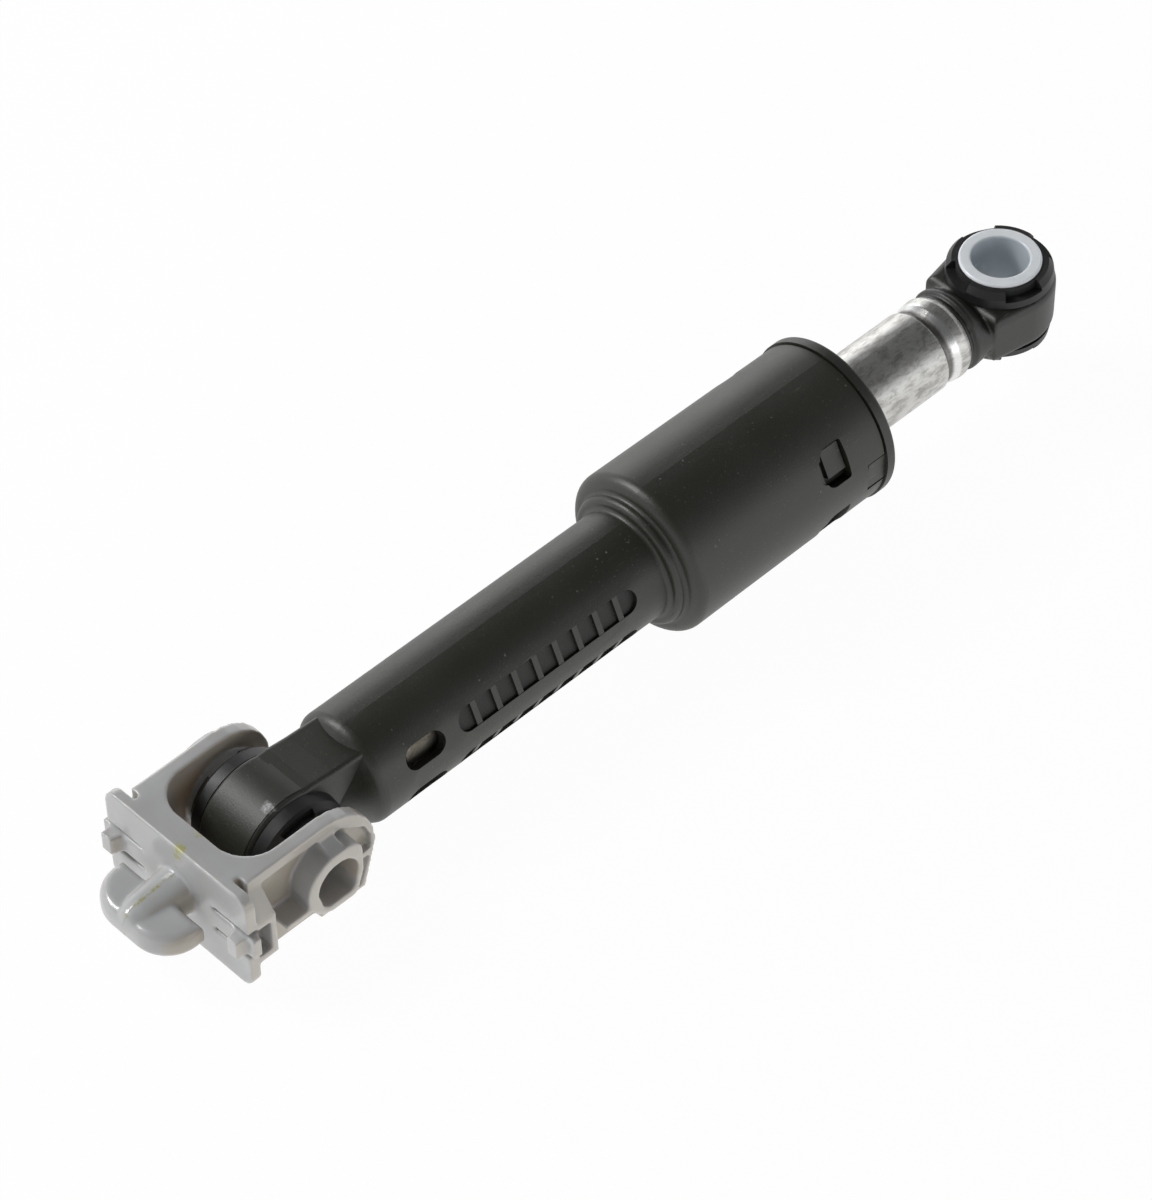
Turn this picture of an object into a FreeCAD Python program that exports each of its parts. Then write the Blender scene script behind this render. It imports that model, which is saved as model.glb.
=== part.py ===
import FreeCAD, Part
import Sketcher
import math
import os

# Washing machine shock absorber: a friction damper between a clip-in plastic fork and a tub eye.
# Origin in the upper eye, +X along the damper from fork to eye, +Y along the hinge, +Z up.
# Each sub-part is drawn with x counted from the lower hinge pin, then placed.
# Radii are measured from the damper's long axis unless a note says otherwise.

DIMENSIONS = {
    # Plastic fork that clips into the machine's base
    "fork_half_height": 12.1,
    "plate_front": 22.0,
    "plate_thick": 2.3,
    "plate_half_width": 19.35,
    "plate_corner": 3.0,
    "strap_inside": 12.85,
    "strap_thick": 2.9,
    "saddle_inside": 16.4,
    "saddle_corner": 7.5,
    "strap_slot": 1.3,
    "strap_slot_deep": 2.3,
    "strap_recess": 1.7,
    "recess_rim": 2.9,
    "ear_toe": 8.9,
    "end_rim": 1.0,
    "web_start": 1.2,
    "web_end": 2.1,
    "boss_radius": 7.4,
    "boss_flat": 6.1,
    "boss_bore": 4.8,
    "boss_floor": 4.5,
    "pin_radius": 8.4,
    "pin_inner_end": 2.6,
    "shelf_level": 2.0,
    "shelf_thick": 1.2,
    "box_back": 15.2,
    "box_wall": 1.3,
    "box_top": 4.1,
    "box_bottom": 6.5,
    "tongue_half_height": 2.4,
    "tongue_root": 9.5,
    "tongue_gap": 0.9,
    "tongue_reach": 1.3,
    "nub_height": 2.3,
    "foot_neck_radius": 4.6,
    "foot_length": 13.2,
    "foot_gap": 3.4,
    "foot_half_span": 11.3,
    "foot_half_thick": 2.9,
    "foot_corner": 7.8,
    "foot_round": 2.2,
    # Black housing with the lower eye
    "eye_radius": 11.8,
    "eye_half_width": 6.6,
    "eye_bore": 10.4,
    "eye_step": 0.15,
    "eye_round": 1.0,
    "neck_half_height": 10.5,
    "tube_start": 18.4,
    "tube_radius": 12.05,
    "tube_end_radius": 11.9,
    "tube_bore": 9.8,
    "tube_floor": 17.4,
    "collar_radius": 14.3,
    "collar_width": 2.1,
    "chamber_face": 94.3,
    "chamber_radius": 17.75,
    "chamber_end_radius": 17.45,
    "chamber_corner": 2.5,
    "chamber_bore": 15.6,
    "chamber_floor": 97.5,
    "chamber_end": 146.0,
    "row_angle": 25.0,
    "row_floor": 10.9,
    "row_start": 38.1,
    "row_length": 46.1,
    "row_half_width": 2.55,
    "rib_count": 8,
    "rib_thick": 1.3,
    "rib_top": 11.6,
    "port_centre": 29.6,
    "port_half_length": 4.8,
    "snap_angle": 27.0,
    "snap_start": 130.5,
    "snap_end": 136.9,
    "snap_half_width": 4.35,
    "lead_in_length": 1.3,
    "lead_in_depth": 0.6,
    "key_half_width": 3.1,
    "key_length": 4.3,
    # Cap that closes the chamber
    "seam": 0.35,
    "cap_thick": 2.8,
    "cap_radius": 17.85,
    "cap_bore": 9.4,
    "spigot_start": 129.6,
    "spigot_radius": 15.3,
    "spigot_bore": 13.7,
    "hook_height": 1.1,
    "wiper_inner": 9.2,
    "wiper_outer": 12.6,
    "wiper_length": 3.4,
    # Friction unit between two rubber stops
    "buffer_length": 3.4,
    "buffer_inner": 10.6,
    "unit_start": 103.7,
    "unit_length": 19.6,
    "washer_thick": 1.0,
    "washer_bore": 9.5,
    "carrier_radius": 15.2,
    "carrier_bore": 9.4,
    "lining_pocket": 12.6,
    "lining_inner": 9.05,
    "lining_length": 7.2,
    "split_angle": 178.0,
    # Sliding rod with the upper eye
    "rod_radius": 9.0,
    "rod_wall": 1.5,
    "rod_inner_end": 26.6,
    "rod_outer_end": 180.3,
    "groove_place": 175.1,
    "groove_depth": 0.9,
    "groove_half_width": 1.7,
    "crimp_rise": 0.2,
    "guide_ring_start": 23.6,
    "guide_ring_length": 2.6,
    "guide_ring_radius": 9.7,
    "plug_stem_radius": 7.3,
    "upper_eye_centre": 197.6,
    "upper_eye_radius": 11.5,
    "upper_eye_half_height": 5.95,
    "upper_eye_round": 1.9,
    "flank_slope": 10.5,
    "neck_ring_radius": 9.2,
    "neck_step": 0.8,
    # Rubber bushes and the hard sleeve
    "bush_bore": 8.45,
    "bush_inner_collar": 11.1,
    "bush_cone": 1.4,
    "bush_outer_collar": 9.8,
    "lower_bush_half": 10.5,
    "upper_bush_half": 9.4,
    "petals": 4,
    "petal_angle": 45.0,
    "petal_root": 0.55,
    "lower_petal_depth": 0.9,
    "upper_petal_depth": 1.9,
    "sleeve_half_length": 10.05,
    "sleeve_bore": 5.9,
    "seat_gap": 0.02,
}

doc = FreeCAD.newDocument("shock_absorber")
sheet = doc.addObject("Spreadsheet::Sheet", "Dims")
for row, (alias, number) in enumerate(DIMENSIONS.items(), start=1):
    sheet.set(f"A{row}", alias)
    sheet.set(f"B{row}", str(number))
    sheet.setAlias(f"B{row}", alias)
doc.recompute()


class Size:
    """A length or count with the sheet formula that gives it."""

    def __init__(self, value, formula):
        self.value = float(value)
        self.formula = formula

    def __add__(self, other):
        other = as_size(other)
        return Size(self.value + other.value, f"({self.formula} + {other.formula})")

    def __sub__(self, other):
        other = as_size(other)
        return Size(self.value - other.value, f"({self.formula} - {other.formula})")

    def __mul__(self, other):
        other = as_size(other)
        return Size(self.value * other.value, f"({self.formula} * {other.formula})")

    def __truediv__(self, other):
        other = as_size(other)
        return Size(self.value / other.value, f"({self.formula} / {other.formula})")

    def __rsub__(self, other):
        return as_size(other) - self

    def __neg__(self):
        return Size(-self.value, f"(-1 * {self.formula})")

    def sine(self):
        return Size(math.sin(math.radians(self.value)), f"sin({self.formula})")

    def cosine(self):
        return Size(math.cos(math.radians(self.value)), f"cos({self.formula})")

    __radd__ = __add__
    __rmul__ = __mul__


def as_size(number):
    """A Size as it is, or a plain number with itself as its formula."""
    return number if isinstance(number, Size) else Size(number, f"{float(number):.6f}")


class Sheet:
    """Gives every sheet cell as a Size, by its alias."""

    def __getattr__(self, alias):
        return Size(DIMENSIONS[alias], f"Dims.{alias}")


D = Sheet()
parts = []
stations = {}


def new_body(label):
    """An empty body that is one sub-part."""
    body = doc.addObject("PartDesign::Body", label)
    body.Label = label
    parts.append(body)
    return body


def origin_part(body, role):
    """An axis or plane of the body's own origin."""
    return next(item for item in body.Origin.OriginFeatures if item.Role == role)


def add_sketch(body, role, offset=0.0, turn=0.0):
    """A sketch on an origin plane, turned about its own x and moved along its normal."""
    offset, turn = as_size(offset), as_size(turn)
    sketch = body.newObject("Sketcher::SketchObject", "Sketch")
    sketch.AttachmentSupport = [(origin_part(body, role), "")]
    sketch.MapMode = "FlatFace"
    lean = math.radians(turn.value)
    base = FreeCAD.Vector(0, -offset.value * math.sin(lean), offset.value * math.cos(lean))
    rotation = FreeCAD.Rotation(FreeCAD.Vector(1, 0, 0), turn.value)
    sketch.AttachmentOffset = FreeCAD.Placement(base, rotation)
    sketch.setExpression("AttachmentOffset.Base.y", f"-1 * {offset.formula} * sin({turn.formula})")
    sketch.setExpression("AttachmentOffset.Base.z", f"{offset.formula} * cos({turn.formula})")
    return sketch


def pin_point(sketch, geometry, vertex, across, along):
    """Ties a sketch point to its place, each coordinate bound to the sheet."""
    for kind, place, axis in (("DistanceX", across, -2), ("DistanceY", along, -1)):
        place = as_size(place)
        if abs(place.value) < 1e-9:
            sketch.addConstraint(Sketcher.Constraint("PointOnObject", geometry, vertex, axis))
            continue
        ends = (-1, 1, geometry, vertex) if place.value > 0 else (geometry, vertex, -1, 1)
        index = sketch.addConstraint(Sketcher.Constraint(kind, *ends, abs(place.value)))
        formula = place.formula if place.value > 0 else f"-1 * {place.formula}"
        sketch.setExpression(f"Constraints[{index}]", formula)


def bind_radius(sketch, geometry, radius):
    """A radius constraint bound to the sheet."""
    radius = as_size(radius)
    index = sketch.addConstraint(Sketcher.Constraint("Radius", geometry, radius.value))
    sketch.setExpression(f"Constraints[{index}]", radius.formula)


def tangent_points(before, corner, after, radius):
    """Where a rounded corner leaves its two sides, and the centre of its arc."""
    to_before = (before - corner).normalize()
    to_after = (after - corner).normalize()
    half_angle = to_before.getAngle(to_after) / 2
    reach = radius / math.tan(half_angle)
    centre = corner + (to_before + to_after).normalize() * (radius / math.sin(half_angle))
    return corner + to_before * reach, corner + to_after * reach, centre


def outline(sketch, corners):
    """A closed outline through (across, along) corners, a third value rounding a corner."""
    corners = [tuple(as_size(item) for item in corner) for corner in corners]
    points = [FreeCAD.Vector(corner[0].value, corner[1].value, 0) for corner in corners]
    count = len(points)
    starts, ends, centres = list(points), list(points), {}
    for index, corner in enumerate(corners):
        if len(corner) == 3:
            found = tangent_points(points[index - 1], points[index],
                                   points[(index + 1) % count], corner[2].value)
            ends[index], starts[index], centres[index] = found
    lines = []
    for index in range(count):
        side = Part.LineSegment(starts[index], ends[(index + 1) % count])
        lines.append(sketch.addGeometry(side, False))
    for index, corner in enumerate(corners):
        arriving, leaving = lines[index - 1], lines[index]
        if len(corner) == 2:
            sketch.addConstraint(Sketcher.Constraint("Coincident", arriving, 2, leaving, 1))
            pin_point(sketch, leaving, 1, corner[0], corner[1])
            continue
        mark = sketch.addGeometry(Part.Point(points[index]), True)
        pin_point(sketch, mark, 1, corner[0], corner[1])
        for side in (arriving, leaving):
            sketch.addConstraint(Sketcher.Constraint("PointOnObject", mark, 1, side))
        round_corner(sketch, arriving, leaving, ends[index], starts[index], centres[index],
                     corner[2])


def round_corner(sketch, arriving, leaving, first, last, centre, radius):
    """Joins two sides with an arc tangent to both."""
    turn = (first - centre).cross(last - centre).z
    angles = [math.atan2(point.y - centre.y, point.x - centre.x) for point in (first, last)]
    if turn < 0:
        angles.reverse()
    disc = Part.Circle(centre, FreeCAD.Vector(0, 0, 1), radius.value)
    arc = sketch.addGeometry(Part.ArcOfCircle(disc, *angles), False)
    begins, finishes = (1, 2) if turn > 0 else (2, 1)
    sketch.addConstraint(Sketcher.Constraint("Tangent", arriving, 2, arc, begins))
    sketch.addConstraint(Sketcher.Constraint("Tangent", arc, finishes, leaving, 1))
    bind_radius(sketch, arc, radius)


def box_outline(sketch, left, right, low, high):
    """A rectangle between two places across and two along."""
    outline(sketch, [(left, low), (right, low), (right, high), (left, high)])


def circle(sketch, across, along, radius):
    """A circle about a point."""
    across, along, radius = as_size(across), as_size(along), as_size(radius)
    centre = FreeCAD.Vector(across.value, along.value, 0)
    shape = Part.Circle(centre, FreeCAD.Vector(0, 0, 1), radius.value)
    geometry = sketch.addGeometry(shape, False)
    pin_point(sketch, geometry, 3, across, along)
    bind_radius(sketch, geometry, radius)


def slot(sketch, start, end, half_width):
    """A slot with round ends, along the sketch's own x."""
    start, end, half_width = as_size(start), as_size(end), as_size(half_width)
    left, right = start + half_width, end - half_width
    up = FreeCAD.Vector(0, 0, 1)
    arcs = []
    for place, first in ((left, math.pi / 2), (right, -math.pi / 2)):
        disc = Part.Circle(FreeCAD.Vector(place.value, 0, 0), up, half_width.value)
        arcs.append(sketch.addGeometry(Part.ArcOfCircle(disc, first, first + math.pi), False))
    lower_left = FreeCAD.Vector(left.value, -half_width.value, 0)
    lower_right = FreeCAD.Vector(right.value, -half_width.value, 0)
    upper_left = FreeCAD.Vector(left.value, half_width.value, 0)
    upper_right = FreeCAD.Vector(right.value, half_width.value, 0)
    lower = sketch.addGeometry(Part.LineSegment(lower_left, lower_right), False)
    upper = sketch.addGeometry(Part.LineSegment(upper_right, upper_left), False)
    joints = ((arcs[0], lower), (lower, arcs[1]), (arcs[1], upper), (upper, arcs[0]))
    for first, second in joints:
        sketch.addConstraint(Sketcher.Constraint("Tangent", first, 2, second, 1))
    pin_point(sketch, arcs[0], 3, left, 0)
    pin_point(sketch, arcs[1], 3, right, 0)
    bind_radius(sketch, arcs[0], half_width)
    sketch.addConstraint(Sketcher.Constraint("Equal", arcs[0], arcs[1]))


def extrude(kind, body, sketch, length, both=False, back=False):
    """A pad or pocket of a sketch, to one side or to both."""
    length = as_size(length)
    feature = body.newObject(f"PartDesign::{kind}", kind)
    feature.Profile = sketch
    feature.Length = length.value
    feature.setExpression("Length", length.formula)
    feature.SideType = "Symmetric" if both else "One side"
    feature.Reversed = back
    body.Tip = feature
    return feature


def pad(body, sketch, length, both=False, back=False):
    """Adds the sketch's shape along its normal."""
    return extrude("Pad", body, sketch, length, both, back)


def pocket(body, sketch, length, both=False, outward=True):
    """Cuts the sketch's shape, along its normal when outward."""
    before = tip_volume(body)
    feature = extrude("Pocket", body, sketch, length, both, outward)
    if tip_volume(body) > before - 1e-6:
        raise RuntimeError(f"{body.Label}: {feature.Name} cuts nothing")
    return feature


def tip_volume(body):
    """The volume of the body as it stands."""
    doc.recompute()
    return body.Tip.Shape.Volume


def turn_profile(kind, body, sketch, role, angle=360.0):
    """A revolution or groove of a sketch about an origin axis."""
    angle = as_size(angle)
    feature = body.newObject(f"PartDesign::{kind}", kind)
    feature.Profile = sketch
    feature.ReferenceAxis = (origin_part(body, role), [""])
    feature.Angle = angle.value
    feature.setExpression("Angle", angle.formula)
    feature.Midplane = angle.value < 360
    body.Tip = feature
    return feature


def repeat(body, originals, count, role, angle=360.0):
    """Repeats features evenly about an origin axis."""
    pattern = body.newObject("PartDesign::PolarPattern", "PolarPattern")
    pattern.Originals = originals
    pattern.Axis = (origin_part(body, role), [""])
    pattern.Angle = angle
    pattern.setExpression("Occurrences", as_size(count).formula)
    body.Tip = pattern
    return pattern


def mirror(body, originals, role):
    """Mirrors features in an origin plane."""
    copy = body.newObject("PartDesign::Mirrored", "Mirrored")
    copy.Originals = originals
    copy.MirrorPlane = (origin_part(body, role), [""])
    body.Tip = copy
    return copy


def edges_where(body, test):
    """Names of the tip's edges whose middle point and direction pass a test."""
    doc.recompute()
    names = []
    for index, edge in enumerate(body.Tip.Shape.Edges, start=1):
        middle = edge.valueAt((edge.FirstParameter + edge.LastParameter) / 2)
        if test(edge, middle):
            names.append(f"Edge{index}")
    return names


def round_edges(body, radius, test):
    """Rounds the chosen edges of the body."""
    radius = as_size(radius)
    names = edges_where(body, test)
    if not names:
        raise RuntimeError(f"{body.Label}: no edge to round")
    base = body.Tip
    feature = body.newObject("PartDesign::Fillet", "Fillet")
    feature.Base = (base, names)
    feature.Radius = radius.value
    feature.setExpression("Radius", radius.formula)
    body.Tip = feature
    return feature


def is_along(edge, axis):
    """True for a straight edge along an axis."""
    if not isinstance(edge.Curve, Part.Line):
        return False
    return abs(edge.Curve.Direction.dot(axis)) > 0.999


ALONG_X = FreeCAD.Vector(1, 0, 0)
ALONG_Y = FreeCAD.Vector(0, 1, 0)
ALONG_Z = FreeCAD.Vector(0, 0, 1)


def make_fork():
    """The fork: plate, U-shaped strap, hollow hinge pins, clip tongues and the bayonet foot."""
    body = new_body("fork_bracket")
    half = D.fork_half_height
    outside = D.strap_inside + D.strap_thick
    plate_back = D.plate_front - D.plate_thick
    plate_front = -DIMENSIONS["plate_front"]

    # U-shaped strap seen from above, notched beside the plate
    strap = add_sketch(body, "XY_Plane")
    notch = outside - D.strap_slot_deep
    strap_back = plate_back - D.strap_slot
    outline(strap, [
        (-plate_back - 1.0, -notch), (-strap_back, -notch), (-strap_back, -outside),
        (half, -outside), (half, -D.strap_inside), (-D.saddle_inside, -D.strap_inside),
        (-D.saddle_inside, D.strap_inside), (half, D.strap_inside), (half, outside),
        (-strap_back, outside), (-strap_back, notch), (-plate_back - 1.0, notch),
    ])
    pad(body, strap, 2 * half, both=True)
    saddle = DIMENSIONS["saddle_inside"]
    inner = DIMENSIONS["strap_inside"]
    round_edges(body, D.saddle_corner, lambda edge, middle: is_along(edge, ALONG_Z)
                and abs(middle.x + saddle) < 0.1 and abs(abs(middle.y) - inner) < 0.1)

    # Round upper end and bevelled toe of the two ears
    for side in (1, -1):
        crop = add_sketch(body, "XZ_Plane")
        if side > 0:
            points = [(half * math.sin(math.radians(a)), half * math.cos(math.radians(a)))
                      for a in (0, 15, 30, 45, 60, 75, 90)]
            outline(crop, points + [(half + 2.0, 0), (half + 2.0, half + 2.0), (0, half + 2.0)])
        else:
            outline(crop, [(half, -1.5), (D.ear_toe, -half - 0.5), (half + 2.0, -half - 0.5),
                           (half + 2.0, -1.5)])
        pocket(body, crop, 2 * outside + 2.0, both=True)

    # Plate across the open end
    plate = add_sketch(body, "YZ_Plane", offset=-D.plate_front)
    box_outline(plate, -D.plate_half_width, D.plate_half_width, -half, half)
    pad(body, plate, D.plate_thick)
    reach = DIMENSIONS["plate_half_width"]
    round_edges(body, D.plate_corner, lambda edge, middle: is_along(edge, ALONG_X)
                and abs(abs(middle.y) - reach) < 0.1)

    details = []
    floor = outside - D.strap_recess
    rim = half - D.recess_rim

    # Recess in the ear's outer face, above the shelf, in front of and behind the boss
    recess = add_sketch(body, "XZ_Plane", offset=floor)
    outline(recess, [(-D.saddle_inside, -D.shelf_level), (-D.boss_radius + 2.0, -D.shelf_level),
                     (-D.web_start, D.boss_radius - 1.0), (-D.web_start, rim, 0.8),
                     (-D.saddle_inside - 0.7, rim)])
    details.append(pocket(body, recess, D.strap_recess + 1.0))
    upper = add_sketch(body, "XZ_Plane", offset=floor)
    wall = half - D.end_rim
    outline(upper, [(D.web_end, 5.5), (D.web_end, 8.4, 1.0), (3.9, 8.3, 1.5), (7.4, 5.7, 2.0),
                    (9.6, 4.2, 1.2), (wall, 0.7, 1.5), (wall, -2.8, 1.0), (5.0, -2.8)])
    details.append(pocket(body, upper, D.strap_recess + 1.0))
    lower = add_sketch(body, "XZ_Plane", offset=floor)
    outline(lower, [(5.0, -4.2), (wall - 0.4, -4.2, 0.8), (8.3, -11.1, 0.8), (6.4, -11.1, 0.6),
                    (4.4, -6.2)])
    details.append(pocket(body, lower, D.strap_recess + 1.0))
    under = add_sketch(body, "XZ_Plane", offset=floor)
    outline(under, [(-D.box_back, -D.shelf_level - 1.0), (-6.0, -D.shelf_level - 1.0),
                    (-2.0, -D.boss_radius + 1.5), (-2.0, -half - 1.0),
                    (-D.box_back, -half - 1.0)])
    details.append(pocket(body, under, D.strap_recess + 1.0))

    # Boss that stands out of the ear, flat towards the toe
    face = D.plate_half_width
    boss = add_sketch(body, "XZ_Plane", offset=floor)
    ring, flat = D.boss_radius, D.boss_flat
    outline(boss, [(-ring, ring, D.boss_radius - 0.1), (flat, ring, 3.8), (flat, -1.0),
                   (flat - 1.9, -ring + 0.5, 2.0), (-ring, -ring + 0.5, D.boss_radius - 0.6)])
    details.append(pad(body, boss, face - floor))

    # Shelf from the boss towards the plate
    shelf = add_sketch(body, "XZ_Plane", offset=floor)
    box_outline(shelf, -12.8, -D.boss_radius + 1.0, -D.shelf_level - D.shelf_thick,
                -D.shelf_level)
    details.append(pad(body, shelf, face - floor))

    # Web from the boss up to the rim, sloping back to the ear
    web = add_sketch(body, "YZ_Plane", offset=-D.web_start)
    outline(web, [(-floor, D.boss_radius - 1.5), (-face, D.boss_radius - 1.5),
                  (-face, D.boss_radius - 0.3), (-outside, rim), (-floor, rim)])
    details.append(pad(body, web, D.web_start + D.web_end))

    # Box behind the clip tongue: back wall, sloping roof and floor
    back_wall = add_sketch(body, "YZ_Plane", offset=-D.box_back - D.box_wall)
    outline(back_wall, [(-floor, -D.box_bottom), (-face, -D.box_bottom), (-face, D.box_top),
                        (-outside, rim), (-floor, rim)])
    details.append(pad(body, back_wall, D.box_wall))
    roof = add_sketch(body, "YZ_Plane", offset=-plate_back - 0.5)
    outline(roof, [(-face, D.box_top - 1.7), (-face, D.box_top), (-outside, rim),
                   (-floor, rim), (-floor, rim - 1.7)])
    details.append(pad(body, roof, plate_back + 0.5 - D.box_back - 0.2))
    box_floor = add_sketch(body, "YZ_Plane", offset=-plate_back - 0.5)
    box_outline(box_floor, -face, -floor, -D.box_bottom, -D.box_bottom + 1.6)
    details.append(pad(body, box_floor, plate_back + 0.5 - D.box_back - 0.2))

    # Hinge pin on the ear's inner face
    pin = add_sketch(body, "XZ_Plane", offset=D.pin_inner_end)
    circle(pin, 0, 0, D.pin_radius)
    details.append(pad(body, pin, D.strap_inside - D.pin_inner_end + 0.5))
    tip = DIMENSIONS["pin_inner_end"]

    # Clip tongue in the plate's end, with its nub
    tongue_end = add_sketch(body, "XZ_Plane", offset=face - 0.5)
    box_outline(tongue_end, -D.plate_front, -plate_back - 0.3, -D.tongue_half_height,
                D.tongue_half_height)
    details.append(pad(body, tongue_end, D.tongue_reach + 0.5))
    nub = add_sketch(body, "XY_Plane")
    nub_front = D.plate_front + D.nub_height
    outline(nub, [(-D.plate_front + 0.3, -15.1), (-nub_front, -15.9), (-nub_front, -18.6),
                  (-D.plate_front + 0.3, -18.6)])
    details.append(pad(body, nub, 2 * D.tongue_half_height - 0.5, both=True))

    # Slots above and below the tongue, the boss's D-shaped bore
    for side in (1, -1):
        cut = add_sketch(body, "YZ_Plane", offset=-D.plate_front - 1.0)
        low, high = D.tongue_half_height, D.tongue_half_height + D.tongue_gap
        edges = (low, high) if side > 0 else (-high, -low)
        box_outline(cut, -face - 1.0, -D.tongue_root, *edges)
        details.append(pocket(body, cut, D.plate_thick + 1.0))
    depth = face - D.boss_floor
    bore = add_sketch(body, "XZ_Plane", offset=D.boss_floor)
    circle(bore, 0, 0, D.boss_bore)
    details.append(pocket(body, bore, depth + 0.5))
    corner = add_sketch(body, "XZ_Plane", offset=D.boss_floor)
    sill = -D.boss_bore - 0.4
    outline(corner, [(-D.boss_bore + 0.1, -0.5), (D.boss_bore - 0.4, -0.5),
                     (D.boss_bore - 0.8, sill, 1.8), (-D.boss_bore + 1.1, sill, 2.2)])
    details.append(pocket(body, corner, depth + 0.5))
    mirror(body, details, "XZ_Plane")
    round_edges(body, 1.0, lambda edge, middle: isinstance(edge.Curve, Part.Circle)
                and abs(abs(middle.y) - tip) < 0.05)

    # Bayonet foot: a flat head, and the round neck that carries it
    head = add_sketch(body, "XY_Plane", offset=-0.3)
    head_back = D.plate_front + D.foot_gap
    head_front = D.plate_front + D.foot_length
    box_outline(head, -head_front, -head_back, -D.foot_half_span, D.foot_half_span)
    pad(body, head, 2 * D.foot_half_thick, both=True)
    front = DIMENSIONS["plate_front"] + DIMENSIONS["foot_length"]
    span = DIMENSIONS["foot_half_span"]
    round_edges(body, D.foot_corner, lambda edge, middle: is_along(edge, ALONG_Z)
                and abs(middle.x + front) < 0.1 and abs(abs(middle.y) - span) < 0.1)
    thick = DIMENSIONS["foot_half_thick"]
    round_edges(body, D.foot_round, lambda edge, middle: middle.x < plate_front - 1.0
                and abs(abs(middle.z + 0.3) - thick) < 0.02)
    neck = add_sketch(body, "XZ_Plane")
    tip = head_front - 0.2
    outline(neck, [(-D.plate_front + 0.5, 0), (-D.plate_front + 0.5, D.foot_neck_radius + 0.4),
                   (-head_front + 4.0, D.foot_neck_radius - 0.4, 9.0),
                   (-tip, D.foot_neck_radius - 1.6, 2.4), (-tip, 0)])
    turn_profile("Revolution", body, neck, "X_Axis")
    return body


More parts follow.
